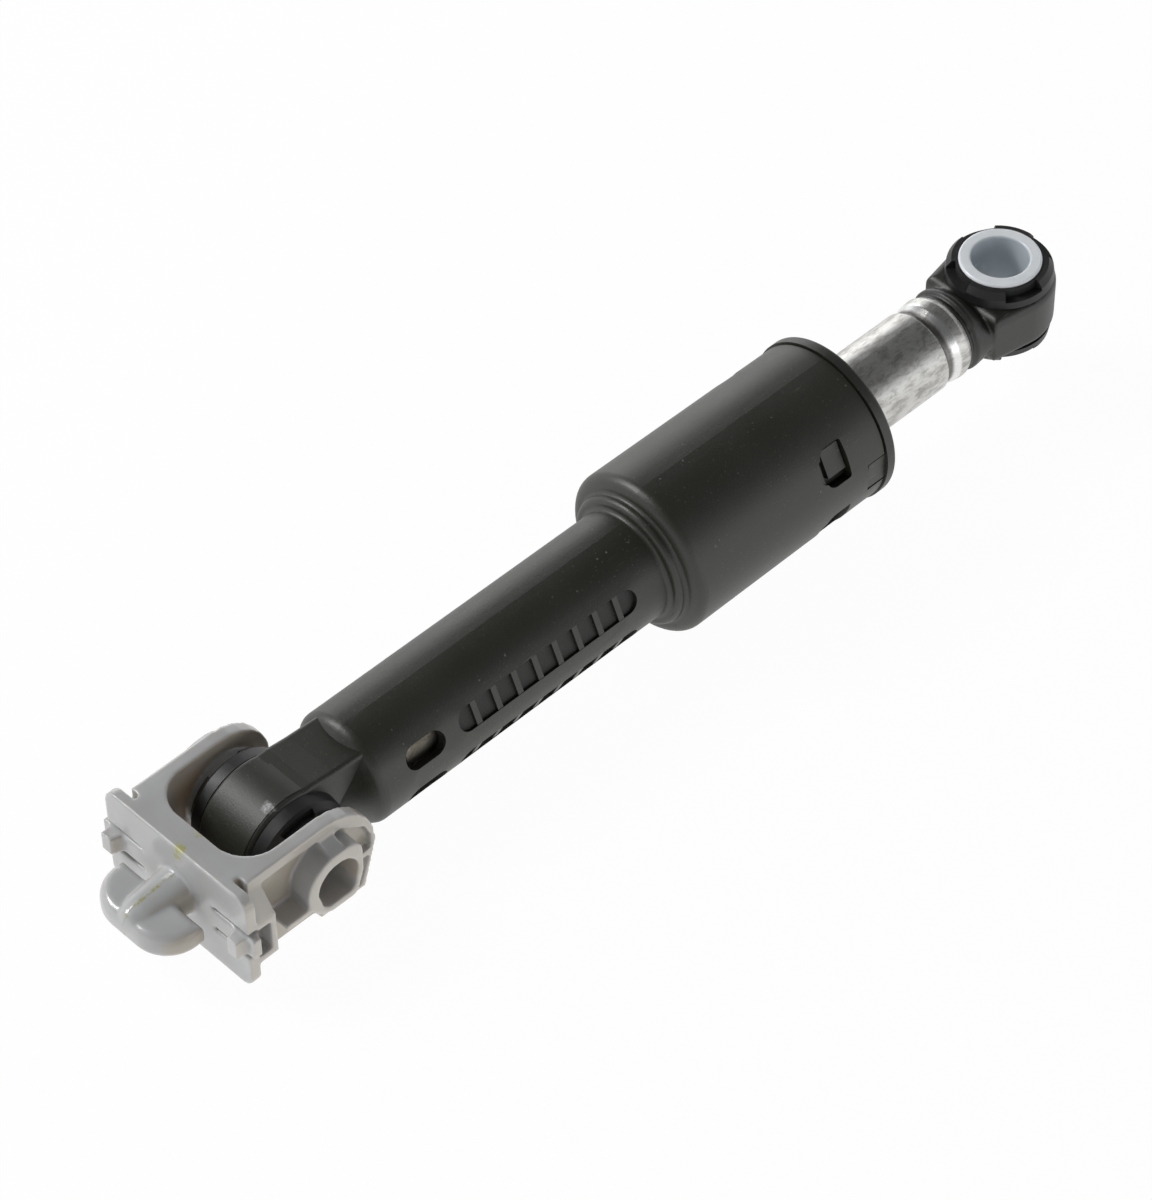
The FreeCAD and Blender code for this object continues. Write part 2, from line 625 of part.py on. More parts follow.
def make_housing():
    """The housing: lower eye, ported tube and the wide friction chamber, one moulding."""
    body = new_body("housing")

    # Lower eye and its flat neck
    eye = add_sketch(body, "XZ_Plane")
    circle(eye, 0, 0, D.eye_radius - D.eye_step)
    pad(body, eye, 2 * D.eye_half_width, both=True)
    neck = add_sketch(body, "XZ_Plane")
    high = D.eye_radius - 0.7
    outline(neck, [(2.0, -high), (6.0, -high), (11.0, -D.neck_half_height),
                   (19.0, -D.neck_half_height + 0.5), (19.0, D.neck_half_height - 0.5),
                   (11.0, D.neck_half_height), (6.0, high), (2.0, high)])
    pad(body, neck, 2 * D.eye_half_width, both=True)
    width = DIMENSIONS["eye_half_width"]
    round_edges(body, D.eye_round, lambda edge, middle: abs(abs(middle.y) - width) < 0.02)
    band = add_sketch(body, "XZ_Plane", offset=-3.0)
    circle(band, 0, 0, D.eye_radius)
    pad(body, band, D.eye_half_width - D.eye_round + 3.0)

    # Outer form turned about the long axis, with its coves and shoulders
    shell = add_sketch(body, "XZ_Plane")
    collar_start = D.chamber_face - D.collar_width
    outline(shell, [
        (D.tube_start - 11.0, 0), (D.tube_start - 11.0, D.eye_half_width - 0.2),
        (D.tube_start - 5.0, D.eye_half_width - 0.2, 9.0),
        (D.tube_start, D.tube_radius, 2.5), (collar_start, D.tube_end_radius, 0.9),
        (collar_start, D.collar_radius, 1.1), (D.chamber_face, D.collar_radius, 0.8),
        (D.chamber_face, D.chamber_radius, D.chamber_corner),
        (D.chamber_end, D.chamber_end_radius), (D.chamber_end, 0),
    ])
    turn_profile("Revolution", body, shell, "X_Axis")

    # Hollow inside: rod bore and friction chamber
    hollow = add_sketch(body, "XZ_Plane")
    outline(hollow, [
        (D.tube_floor, 0), (D.tube_floor, D.tube_bore - 0.8), (D.tube_floor + 0.8, D.tube_bore),
        (D.chamber_floor, D.tube_bore), (D.chamber_floor, D.chamber_bore),
        (D.chamber_end + 1.0, D.chamber_bore), (D.chamber_end + 1.0, 0),
    ])
    turn_profile("Groove", body, hollow, "X_Axis")
    bore = add_sketch(body, "XZ_Plane")
    circle(bore, 0, 0, D.eye_bore)
    pocket(body, bore, 4 * D.eye_half_width, both=True)

    # Four rows of ribbed recesses, each with an oval port below it
    for turn in (-D.row_angle, D.row_angle, 180 - D.row_angle, 180 + D.row_angle):
        ladder = add_sketch(body, "XZ_Plane", offset=D.row_floor, turn=turn)
        slot(ladder, D.row_start, D.row_start + D.row_length, D.row_half_width)
        pocket(body, ladder, 3.0)
        pitch = (D.row_length + D.rib_thick) / (D.rib_count + 1)
        rib = add_sketch(body, "XZ_Plane", offset=D.row_floor - 0.2, turn=turn)
        first = D.row_start + pitch - D.rib_thick
        half_width = D.row_half_width + 0.2
        box_outline(rib, first, first + D.rib_thick, -half_width, half_width)
        ribs = pad(body, rib, D.rib_top - D.row_floor + 0.2)
        row = body.newObject("PartDesign::LinearPattern", "LinearPattern")
        row.Originals = [ribs]
        row.Direction = (origin_part(body, "X_Axis"), [""])
        row.setExpression("Length", (pitch * (D.rib_count - 1)).formula)
        row.setExpression("Occurrences", D.rib_count.formula)
        body.Tip = row
        port = add_sketch(body, "XZ_Plane", offset=D.tube_bore - 3.0, turn=turn)
        slot(port, D.port_centre - D.port_half_length, D.port_centre + D.port_half_length,
             D.row_half_width)
        pocket(body, port, 8.0)

    # Windows for the cap's hooks, each with a shallow lead-in
    for turn in (-D.snap_angle, D.snap_angle, 180 - D.snap_angle, 180 + D.snap_angle):
        window = add_sketch(body, "XZ_Plane", offset=D.chamber_bore - 2.0, turn=turn)
        half = D.snap_half_width
        outline(window, [(D.snap_start, -half, 2.6), (D.snap_end, -half, 0.6),
                         (D.snap_end, half, 0.6), (D.snap_start, half, 2.6)])
        pocket(body, window, 6.0)
        lead = add_sketch(body, "XZ_Plane", offset=D.chamber_radius - D.lead_in_depth - 0.4,
                          turn=turn)
        inset = half - 1.6
        outline(lead, [(D.snap_start - D.lead_in_length, -inset, 2.0),
                       (D.snap_start + 1.5, -inset), (D.snap_start + 1.5, inset),
                       (D.snap_start - D.lead_in_length, inset, 2.0)])
        pocket(body, lead, 4.0)

    # Notches in the open end for the cap's keys
    notch = add_sketch(body, "XZ_Plane")
    box_outline(notch, D.chamber_end - D.key_length - D.seam, D.chamber_end + 1.0,
                -D.key_half_width - D.seam, D.key_half_width + D.seam)
    pocket(body, notch, 2 * D.chamber_radius + 2.0, both=True)
    return body


def ellipse_outline(sketch, across, high):
    """A circle, or an ellipse wider than it is high, about the sketch's origin."""
    across, high = as_size(across), as_size(high)
    if abs(across.value - high.value) < 1e-6:
        circle(sketch, 0, 0, across)
        return
    centre = FreeCAD.Vector(0, 0, 0)
    side = FreeCAD.Vector(across.value, 0, 0)
    top = FreeCAD.Vector(0, high.value, 0)
    geometry = sketch.addGeometry(Part.Ellipse(side, top, centre), False)
    sketch.exposeInternalGeometry(geometry)
    sketch.addConstraint(Sketcher.Constraint("Coincident", geometry, 3, -1, 1))
    pin_point(sketch, geometry + 1, 1, across, 0)
    index = sketch.addConstraint(Sketcher.Constraint("Distance", geometry + 2, 2 * high.value))
    sketch.setExpression(f"Constraints[{index}]", (2 * high).formula)


def make_cap():
    """The cap: a flange on the chamber's end, keys, and a spigot with four hooked tongues."""
    body = new_body("chamber_cap")
    profile = add_sketch(body, "XZ_Plane")
    outer = D.cap_radius
    end = D.chamber_end + D.cap_thick
    seat = D.chamber_end + D.seam
    outline(profile, [
        (D.spigot_start, D.spigot_bore), (D.spigot_start, D.spigot_radius - 0.5),
        (D.spigot_start + 0.8, D.spigot_radius), (seat, D.spigot_radius), (seat, outer),
        (end, outer, 0.7), (end, D.cap_bore, 0.5), (seat - 1.0, D.cap_bore),
        (seat - 1.0, D.wiper_outer + 0.05), (seat - 1.0 - D.wiper_length, D.wiper_outer + 0.05),
        (seat - 1.0 - D.wiper_length, D.spigot_bore),
    ])
    turn_profile("Revolution", body, profile, "X_Axis")
    details = []
    key = add_sketch(body, "XZ_Plane", offset=D.spigot_radius - 0.3)
    box_outline(key, D.chamber_end - D.key_length, D.chamber_end + 1.0, -D.key_half_width,
                D.key_half_width)
    details.append(pad(body, key, D.chamber_end_radius - D.spigot_radius - 0.1))
    hook_start = D.snap_start + 1.3
    hook_end = D.snap_end - 0.4
    hook_half = D.snap_half_width - 0.5
    for turn in (-D.snap_angle, D.snap_angle):
        hook = add_sketch(body, "XZ_Plane", offset=D.spigot_radius - 1.0, turn=turn)
        box_outline(hook, hook_start, hook_end, 1.7 - hook_half, hook_half)
        details.append(pad(body, hook, D.hook_height + 1.0))
    for turn in (-D.snap_angle, D.snap_angle):
        for side in (1, -1):
            gap = add_sketch(body, "XZ_Plane", offset=D.spigot_bore - 2.5, turn=turn)
            near, far = hook_half + 0.3, hook_half + 1.2
            edges = (near, far) if side > 0 else (-far, -near)
            box_outline(gap, D.spigot_start - 1.0, D.snap_end + 1.5, *edges)
            details.append(pocket(body, gap, 5.5))
    mirror(body, details, "XZ_Plane")
    return body


def make_turned(label, corners, angle=360.0):
    """A sub-part turned about the long axis from one closed profile."""
    body = new_body(label)
    profile = add_sketch(body, "XZ_Plane")
    outline(profile, corners)
    turn_profile("Revolution", body, profile, "X_Axis", angle)
    return body


def make_washer(label, start):
    """A flat steel washer across the long axis."""
    start = as_size(start)
    shapes = []
    for name, radius in (("disc", D.carrier_radius), ("hole", D.washer_bore)):
        item = doc.addObject("Part::Cylinder", f"{label}_{name}")
        item.setExpression("Radius", radius.formula)
        item.setExpression("Height", D.washer_thick.formula)
        item.Placement.Rotation = FreeCAD.Rotation(FreeCAD.Vector(0, 1, 0), 90)
        item.setExpression("Placement.Base.x", start.formula)
        shapes.append(item)
    washer = doc.addObject("Part::Cut", label)
    washer.Base, washer.Tool = shapes
    washer.Label = label
    parts.append(washer)
    return washer


def make_friction_unit():
    """Two rubber stops and, between them, the carrier halves, linings and end washers."""
    end = D.unit_start + D.unit_length
    make_washer("unit_washer_lower", D.unit_start)
    make_washer("unit_washer_upper", end - D.washer_thick)

    start, stop = D.unit_start + D.washer_thick + 0.02, end - D.washer_thick - 0.02
    middle = D.unit_start + D.unit_length / 2
    radius = D.carrier_radius
    for label, turn in (("lining_carrier_top", 0.0), ("lining_carrier_bottom", 180.0)):
        land = (D.unit_length / 2 - D.washer_thick - D.lining_length) / 2
        corners = [
            (start, D.carrier_bore + 0.2), (start, radius - 0.8), (start + 0.8, radius),
            (middle - 1.0, radius), (middle - 1.0, radius - 1.2), (middle + 1.0, radius - 1.2),
            (middle + 1.0, radius), (stop - 0.8, radius), (stop, radius - 0.8),
            (stop, D.carrier_bore + 0.2),
        ]
        for place in (middle + land, D.unit_start + D.washer_thick + land):
            corners += [
                (place + D.lining_length, D.carrier_bore + 0.2),
                (place + D.lining_length, D.lining_pocket), (place, D.lining_pocket),
                (place, D.carrier_bore + 0.2),
            ]
        half = make_turned(label, corners, D.split_angle)
        half.Placement.Rotation = FreeCAD.Rotation(FreeCAD.Vector(1, 0, 0), turn)

    land = (D.unit_length / 2 - D.washer_thick - D.lining_length) / 2
    for label, place in (("friction_lining_lower", D.unit_start + D.washer_thick + land),
                         ("friction_lining_upper", middle + land)):
        make_turned(label, [
            (place + 0.05, D.lining_inner), (place + D.lining_length - 0.05, D.lining_inner),
            (place + D.lining_length - 0.05, D.lining_pocket - 0.05),
            (place + 0.05, D.lining_pocket - 0.05),
        ], 352.0)

    for label, place in (("stop_ring_lower", D.chamber_floor + 0.02),
                         ("stop_ring_upper", D.spigot_start - D.buffer_length - 0.02)):
        top = D.chamber_bore - 0.1
        make_turned(label, [
            (place, D.buffer_inner + 0.6), (place, top - 0.6), (place + 0.6, top),
            (place + D.buffer_length - 0.6, top), (place + D.buffer_length, top - 0.6),
            (place + D.buffer_length, D.buffer_inner + 0.6),
            (place + D.buffer_length - 0.6, D.buffer_inner), (place + 0.6, D.buffer_inner),
        ])


def make_rod():
    """The rod: steel tube with a rolled groove, inner plug with its guide ring, outer eye."""
    radius = D.rod_radius
    bore = radius - D.rod_wall
    place, dip, half = D.groove_place, D.groove_depth, D.groove_half_width
    end = D.rod_outer_end
    first, last = place - half, place + half
    make_turned("rod_tube", [
        (D.rod_inner_end, bore), (D.rod_inner_end, radius - 0.3), (D.rod_inner_end + 0.3, radius),
        (first, radius, 0.3), (first + 0.7, radius - dip, 0.4), (first + 1.3, radius - dip, 0.9),
        (last, radius, 1.0), (end - 1.1, radius + D.crimp_rise, 1.2), (end, radius - 0.3),
        (end, bore),
        (last - 0.6, bore, 0.5), (first + 1.6, bore - dip + 0.1, 0.4),
        (first + 0.7, bore - dip + 0.1, 0.4), (first + 0.2, bore, 0.4),
    ])

    ring_end = D.guide_ring_start + D.guide_ring_length
    make_turned("guide_ring", [
        (D.guide_ring_start, D.plug_stem_radius + 0.1), (D.guide_ring_start, D.guide_ring_radius - 0.4),
        (D.guide_ring_start + 0.4, D.guide_ring_radius), (ring_end - 0.4, D.guide_ring_radius),
        (ring_end, D.guide_ring_radius - 0.4), (ring_end, D.plug_stem_radius + 0.1),
    ], 350.0)

    fit = bore - D.seat_gap
    lip_start = D.guide_ring_start - 1.6
    make_turned("rod_plug", [
        (lip_start, 4.6), (lip_start, D.plug_stem_radius + 0.5),
        (lip_start + 1.4, D.plug_stem_radius + 1.1), (lip_start + 1.4, D.plug_stem_radius),
        (D.rod_inner_end - 0.2, D.plug_stem_radius), (D.rod_inner_end - 0.2, fit),
        (D.rod_inner_end + 12.0, fit), (D.rod_inner_end + 12.0, 4.6),
    ])


def make_upper_eye():
    """The outer eye: ring about the vertical, stepped neck and the spigot inside the rod."""
    body = new_body("rod_eye")
    centre = D.upper_eye_centre
    half = D.upper_eye_half_height
    eye = add_sketch(body, "XY_Plane")
    circle(eye, centre, 0, D.upper_eye_radius)
    pad(body, eye, 2 * half, both=True)
    flank = add_sketch(body, "XY_Plane")
    sine, cosine = D.flank_slope.sine(), D.flank_slope.cosine()
    contact, side = centre - D.upper_eye_radius * sine, D.upper_eye_radius * cosine
    flank_start = centre - D.upper_eye_radius + 0.1
    narrow = side - (contact - flank_start) * sine / cosine
    outline(flank, [(contact, -side), (contact, side), (flank_start, narrow),
                    (flank_start, -narrow)])
    pad(body, flank, 2 * half, both=True)
    level = DIMENSIONS["upper_eye_half_height"]
    round_edges(body, D.upper_eye_round, lambda edge, middle: abs(abs(middle.z) - level) < 0.02)
    ring = D.neck_ring_radius
    flare_start = D.rod_outer_end + 3 * D.neck_step + 0.3
    flare = []
    for place, across, high in ((flare_start, ring, ring), (flare_start + 1.7, ring + 0.2, ring - 1.5),
                                (flare_start + 3.3, ring + 0.3, half - 0.1),
                                (centre - 3.0, ring + 1.0, half - 0.1)):
        section = add_sketch(body, "YZ_Plane", offset=place)
        ellipse_outline(section, across, high)
        flare.append(section)
    neck = body.newObject("PartDesign::AdditiveLoft", "AdditiveLoft")
    neck.Profile = flare[0]
    neck.Sections = flare[1:]
    neck.Ruled = True
    body.Tip = neck

    # Spigot crimped into the rod, and the stepped rings at the rod's mouth
    spigot = add_sketch(body, "XZ_Plane")
    fit = D.rod_radius - D.rod_wall - D.seat_gap
    place, notch, dip = D.groove_place, D.groove_half_width, D.groove_depth
    end = D.rod_outer_end + 0.02
    step = D.neck_step
    outline(spigot, [
        (place - 12.0, 0), (place - 12.0, fit - 0.6), (place - 11.4, fit),
        (place - notch - 0.3, fit), (place - notch + 0.3, fit - dip - 0.1),
        (place - notch + 1.8, fit - dip - 0.1), (place + notch - 0.2, fit), (end, fit),
        (end, ring - 0.5), (end + step, ring - 0.5), (end + step, ring - 0.9),
        (end + 2 * step, ring - 0.9), (end + 2 * step, ring - 0.2),
        (end + 2 * step + 0.3, ring), (flare_start, ring), (flare_start + 1.0, ring - 1.8),
        (flare_start + 1.0, 0),
    ])
    turn_profile("Revolution", body, spigot, "X_Axis")
    bore = add_sketch(body, "XY_Plane")
    circle(bore, centre, 0, D.eye_bore)
    pocket(body, bore, 3 * half, both=True)
    return body


def make_bush(label, role, axis, centre, half_width, half_length, depth, turn):
    """A rubber bush with a split cone collar, four petals to an end, at each side of an eye."""
    body = new_body(label)
    profile = add_sketch(body, role)
    fit = D.eye_bore - D.seat_gap
    inner, outer = D.bush_inner_collar, D.bush_outer_collar
    gap = half_width + 0.05
    half_profile = [(outer, half_length), (inner - 0.3, half_length - D.bush_cone),
                    (inner, gap), (fit, gap)]
    lower = [(radius, -along) for radius, along in reversed(half_profile)]
    outline(profile, [(D.bush_bore, half_length)] + half_profile + lower
            + [(D.bush_bore, -half_length)])
    turn_profile("Revolution", body, profile, axis)
    cuts = []
    for side in (1, -1):
        recess = add_sketch(body, role)
        low, high = half_length - depth, half_length + 1.0
        low, high = (low, high) if side > 0 else (-high, -low)
        box_outline(recess, D.bush_bore + D.petal_root, inner + 1.0, low, high)
        before = tip_volume(body)
        cuts.append(turn_profile("Groove", body, recess, axis, D.petal_angle))
        if tip_volume(body) > before - 1e-6:
            raise RuntimeError(f"{label}: the recess cuts nothing")
    repeat(body, cuts, D.petals, axis)
    upright = axis == "Z_Axis"
    turning = ALONG_Z if upright else ALONG_Y
    body.Placement = FreeCAD.Placement(FreeCAD.Vector(0, 0, 0), FreeCAD.Rotation(turning, turn))
    stations[body.Name] = centre
    return body


def make_sleeve():
    """The hard sleeve that lines the upper bush, with bevelled ends."""
    body = new_body("upper_sleeve")
    profile = add_sketch(body, "XY_Plane")
    centre = D.upper_eye_centre
    circle(profile, centre, 0, D.bush_bore - D.seat_gap)
    circle(profile, centre, 0, D.sleeve_bore)
    pad(body, profile, 2 * D.sleeve_half_length, both=True)
    half = DIMENSIONS["sleeve_half_length"]
    round_edges(body, 0.5, lambda edge, middle: abs(abs(middle.z) - half) < 0.02)
    return body


make_fork()
make_housing()
make_bush("lower_bush", "XY_Plane", "Y_Axis", as_size(0.0), D.eye_half_width,
          D.lower_bush_half, D.lower_petal_depth, -97.0)
make_cap()
make_turned("rod_wiper", [
    (D.chamber_end - 0.95 - D.wiper_length, D.wiper_inner + 0.5),
    (D.chamber_end - 0.95 - D.wiper_length, D.wiper_outer),
    (D.chamber_end - 0.98, D.wiper_outer), (D.chamber_end - 0.98, D.wiper_inner),
    (D.chamber_end - 1.6, D.wiper_inner),
])
make_friction_unit()
make_rod()
make_upper_eye()
make_bush("upper_bush", "XZ_Plane", "Z_Axis", D.upper_eye_centre, D.upper_eye_half_height,
          D.upper_bush_half, D.upper_petal_depth, 71.0)
make_sleeve()

# Every sub-part is placed so that the upper eye's centre is the shared origin
for part in parts:
    station = stations.get(part.Name, as_size(0.0)) - D.upper_eye_centre
    part.setExpression("Placement.Base.x", station.formula)
doc.recompute()

failed = [item.Name for item in doc.Objects if "Invalid" in item.State or "Error" in item.State]
if failed:
    raise RuntimeError(f"failed objects: {failed}")
os.makedirs("parts", exist_ok=True)
for part in parts:
    shape = part.Shape
    if shape.isNull() or not shape.isValid() or len(shape.Solids) != 1:
        raise RuntimeError(f"bad shape: {part.Label}, {len(shape.Solids)} solids")
    shape.exportStep(f"parts/{part.Label}.step")
    print(f"{part.Label:26s} {shape.Volume:10.1f} mm3")
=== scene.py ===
import math

import bmesh
import bpy
from mathutils import Matrix, Vector
from mathutils.bvhtree import BVHTree


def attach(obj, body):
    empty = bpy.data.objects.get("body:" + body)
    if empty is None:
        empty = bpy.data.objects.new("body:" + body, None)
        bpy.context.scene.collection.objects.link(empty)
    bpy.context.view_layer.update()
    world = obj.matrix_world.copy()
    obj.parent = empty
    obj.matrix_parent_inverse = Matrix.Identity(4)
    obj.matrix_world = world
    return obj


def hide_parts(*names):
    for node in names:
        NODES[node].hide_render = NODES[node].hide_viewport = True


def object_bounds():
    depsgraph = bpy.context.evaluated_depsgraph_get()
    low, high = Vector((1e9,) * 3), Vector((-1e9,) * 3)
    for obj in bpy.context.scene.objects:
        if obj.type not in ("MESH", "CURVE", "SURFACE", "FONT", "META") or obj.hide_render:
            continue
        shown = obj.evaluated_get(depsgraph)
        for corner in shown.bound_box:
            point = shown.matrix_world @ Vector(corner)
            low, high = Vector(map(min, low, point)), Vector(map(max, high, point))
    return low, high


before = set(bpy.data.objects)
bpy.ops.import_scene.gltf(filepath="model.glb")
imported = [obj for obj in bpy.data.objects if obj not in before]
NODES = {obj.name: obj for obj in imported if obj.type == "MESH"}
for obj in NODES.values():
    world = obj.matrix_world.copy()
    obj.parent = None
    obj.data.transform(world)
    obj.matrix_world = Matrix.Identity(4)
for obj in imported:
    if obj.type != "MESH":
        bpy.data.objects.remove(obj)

cad_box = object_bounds()
MM = 0.001

# Stations along the damper, in metres from the upper eye's centre
HINGE_X = -0.1976
GROOVE_X = HINGE_X + 0.1751

# Softened copies of two mouldings: grid size and rounds of smoothing
WELD = 1e-6
FORK_GRID = 0.35 * MM
FORK_ROUNDS = 4
EYE_GRID = 0.3 * MM
EYE_ROUNDS = 6

# The foot's seam, in metres: probing rays run along the spine and then down the nose
SEAM_RADIUS = 0.13 * MM
SEAM_SINK = 0.7 * SEAM_RADIUS
SPINE_START = 22.4 * MM
SPINE_STEP = 0.5 * MM
SPINE_RAYS = 24
NOSE_STEP = 0.4 * MM
NOSE_RAYS = 15
ABOVE_FOOT = 30.0 * MM
BEFORE_FOOT = 50.0 * MM


class Value:
    """A shader number or vector that can be used in Python expressions."""

    def __init__(self, finish, socket):
        self.finish = finish
        self.socket = socket

    def math(self, operation, first, second=0.0):
        return self.finish.node("ShaderNodeMath", {"operation": operation}, {0: first, 1: second})

    def __add__(self, other):
        return self.math("ADD", self, other)

    def __radd__(self, other):
        return self.math("ADD", other, self)

    def __sub__(self, other):
        return self.math("SUBTRACT", self, other)

    def __rsub__(self, other):
        return self.math("SUBTRACT", other, self)

    def __mul__(self, other):
        return self.math("MULTIPLY", self, other)

    def __rmul__(self, other):
        return self.math("MULTIPLY", other, self)

    def __abs__(self):
        return self.math("ABSOLUTE", self)

    def peak(self, other):
        return self.math("MAXIMUM", self, other)

    def step(self, low, high):
        """0 below low, 1 above high and smooth between."""
        settings = {"interpolation_type": "SMOOTHSTEP"}
        return self.finish.node("ShaderNodeMapRange", settings, {0: self, 1: low, 2: high})


class Finish:
    """A material under construction, laid out on the piece's own Object coordinates."""

    def __init__(self, name, roughness=0.5, metallic=0.0, **constants):
        self.material = bpy.data.materials.new(name)
        self.material.use_nodes = True
        self.tree = self.material.node_tree
        self.tree.nodes.clear()
        self.output = self.tree.nodes.new("ShaderNodeOutputMaterial")
        self.shader = self.tree.nodes.new("ShaderNodeBsdfPrincipled")
        self.tree.links.new(self.shader.outputs[0], self.output.inputs[0])
        self.shader.inputs["Roughness"].default_value = roughness
        self.shader.inputs["Metallic"].default_value = metallic
        for socket, number in constants.items():
            self.shader.inputs[socket.replace("_", " ")].default_value = number
        self.place = self.node("ShaderNodeTexCoord", {}, {}, "Object")

    def node(self, kind, settings, inputs, output=0):
        """Adds a node, first its settings and then its sockets, and gives one output."""
        made = self.tree.nodes.new(kind)
        for key, setting in settings.items():
            setattr(made, key, setting)
        for key, content in inputs.items():
            self.plug(content, made.inputs[key])
        return Value(self, made.outputs[output])

    def plug(self, content, socket):
        """Links a Value to a socket, or writes a number or colour into it."""
        if isinstance(content, Value):
            self.tree.links.new(content.socket, socket)
        elif isinstance(content, tuple) and len(content) == 3 and socket.type == "RGBA":
            socket.default_value = (*content, 1.0)
        else:
            socket.default_value = content

    def set(self, socket, content):
        self.plug(content, self.shader.inputs[socket])

    def stretched(self, scale, turn=(0.0, 0.0, 0.0)):
        """The piece's coordinates, stretched so that a pattern runs along an axis."""
        inputs = {"Vector": self.place, "Scale": scale, "Rotation": turn}
        return self.node("ShaderNodeMapping", {}, inputs)

    def noise(self, size, detail=3.0, rough=0.55, where=None, warp=0.0):
        """Cloudy noise with features of a size in metres."""
        inputs = {"Vector": where or self.place, "Scale": 1.0 / size, "Detail": detail,
                  "Roughness": rough, "Distortion": warp}
        return self.node("ShaderNodeTexNoise", {}, inputs)

    def cells(self, size):
        """Distance to scattered points, a size apart in metres."""
        inputs = {"Vector": self.place, "Scale": 1.0 / size}
        return self.node("ShaderNodeTexVoronoi", {"feature": "F1"}, inputs)

    def mix(self, factor, first, second):
        """A colour between two colours."""
        return self.node("ShaderNodeMix", {"data_type": "RGBA"}, {0: factor, 6: first, 7: second},
                         2)

    def axis(self, index):
        """One coordinate, in metres."""
        return self.node("ShaderNodeSeparateXYZ", {}, {0: self.place}, index)

    def facing(self, index):
        """One part of the surface's own direction, from -1 to 1."""
        normal = self.node("ShaderNodeTexCoord", {}, {}, "Normal")
        return self.node("ShaderNodeSeparateXYZ", {}, {0: normal}, index)

    def distance(self, point):
        """Distance from a point of the object, in metres."""
        settings = {"operation": "DISTANCE"}
        return self.node("ShaderNodeVectorMath", settings, {0: self.place, 1: point}, "Value")

    def within(self, axis, centre, radius, blur):
        """1 inside a radius round an axis that runs along X, Y or Z through a point."""
        scale = tuple(0.0 if index == axis else 1.0 for index in range(3))
        inputs = {0: self.stretched(scale), 1: tuple(c * s for c, s in zip(centre, scale))}
        far = self.node("ShaderNodeVectorMath", {"operation": "DISTANCE"}, inputs, "Value")
        return 1.0 - far.step(radius - blur, radius + blur)

    def spot(self, point, radius, blur, ragged):
        """1 within a ragged patch round a point, 0 outside."""
        return 1.0 - (self.distance(point) + ragged).step(radius - blur, radius + blur)

    def bump(self, height, strength, distance):
        """Relief from a height, in metres."""
        inputs = {"Height": height, "Strength": strength, "Distance": distance}
        return self.node("ShaderNodeBump", {}, inputs)


# Grease on the plate's top edge and at the foot's root, as ((x, y, z) from the hinge, radius) in mm
GREASE = (((-21.6, -1.2, 12.2), 1.2), ((-22.1, -0.8, 9.8), 0.8), ((-23.0, -0.3, 6.5), 0.7))


def fork_finish():
    """Pale grey moulded acetal, slightly see-through."""
    finish = Finish("fork_acetal", 0.38, IOR=1.48, Subsurface_Weight=0.25, Subsurface_Scale=0.004,
                    Coat_Weight=0.6, Coat_Roughness=0.12)
    finish.shader.inputs["Subsurface Radius"].default_value = (1.0, 0.85, 0.7)
    cloud = finish.noise(18 * MM, 3.0)
    flow = finish.noise(3 * MM, 4.0, 0.6, finish.stretched((0.35, 1.0, 1.0)))
    grain = finish.noise(0.25 * MM, 2.0)
    colour = finish.mix(cloud.step(0.35, 0.75), (0.43, 0.435, 0.435), (0.37, 0.37, 0.365))
    colour = finish.mix(flow.step(0.55, 0.9) * 0.25, colour, (0.50, 0.51, 0.515))

    # Painted shade: the strap's sides, recesses and bores are painted browner than its top and the
    # plate's front, and the side faces inside the recesses and the undersides just behind the plate
    # darker still
    painted_recess_shade = 1.0 - abs(finish.axis(1)).step(14.3 * MM, 15.0 * MM)
    behind = 1.0 - abs(finish.axis(0) - HINGE_X + 18.0 * MM).step(1.2 * MM, 1.6 * MM)
    side_on = abs(finish.facing(1)).peak(finish.facing(0)).step(0.5, 0.9)
    below = 1.0 - finish.facing(2).step(0.3, 0.8)
    painted_bore_shade = finish.within(1, (HINGE_X, 0.0, 0.0), 5.1 * MM, 0.2 * MM)
    colour = finish.mix(side_on.peak(painted_bore_shade) * 0.7, colour, (0.45, 0.41, 0.35))
    colour = finish.mix(painted_recess_shade * side_on.peak(behind * below) * 0.7, colour, (0.345, 0.31, 0.25))

    # Yellow-green grease left at the saddle, on the plate's edge and along the foot
    ragged = (finish.noise(1.2 * MM, 4.0, 0.75) - 0.5) * (4 * MM)
    at = HINGE_X
    grease = finish.spot((at - 16.4 * MM, -1.2 * MM, 11.4 * MM), 1.0 * MM, 0.7 * MM, ragged)
    for place, radius in GREASE:
        point = (at + place[0] * MM, place[1] * MM, place[2] * MM)
        grease = grease.peak(finish.spot(point, radius * MM, 0.6 * MM, ragged))
    seam = 1.0 - abs(finish.axis(1)).step(0.15 * MM, 0.6 * MM)
    seam = seam * finish.noise(2.2 * MM, 3.0, 0.6).step(0.46, 0.56)
    grease = grease.peak(seam * (1.0 - finish.axis(0).step(at - 23.5 * MM, at - 22.5 * MM)))
    colour = finish.mix(grease * 0.7, colour, (0.38, 0.37, 0.08))
    finish.set("Base Color", colour)
    finish.set("Roughness", 0.30 + flow * 0.18 - grease * 0.2)
    relief = grain * 0.2 + flow * 0.5 + grease * 0.6
    finish.set("Normal", finish.bump(relief, 0.25, 0.08 * MM))
    return finish.material


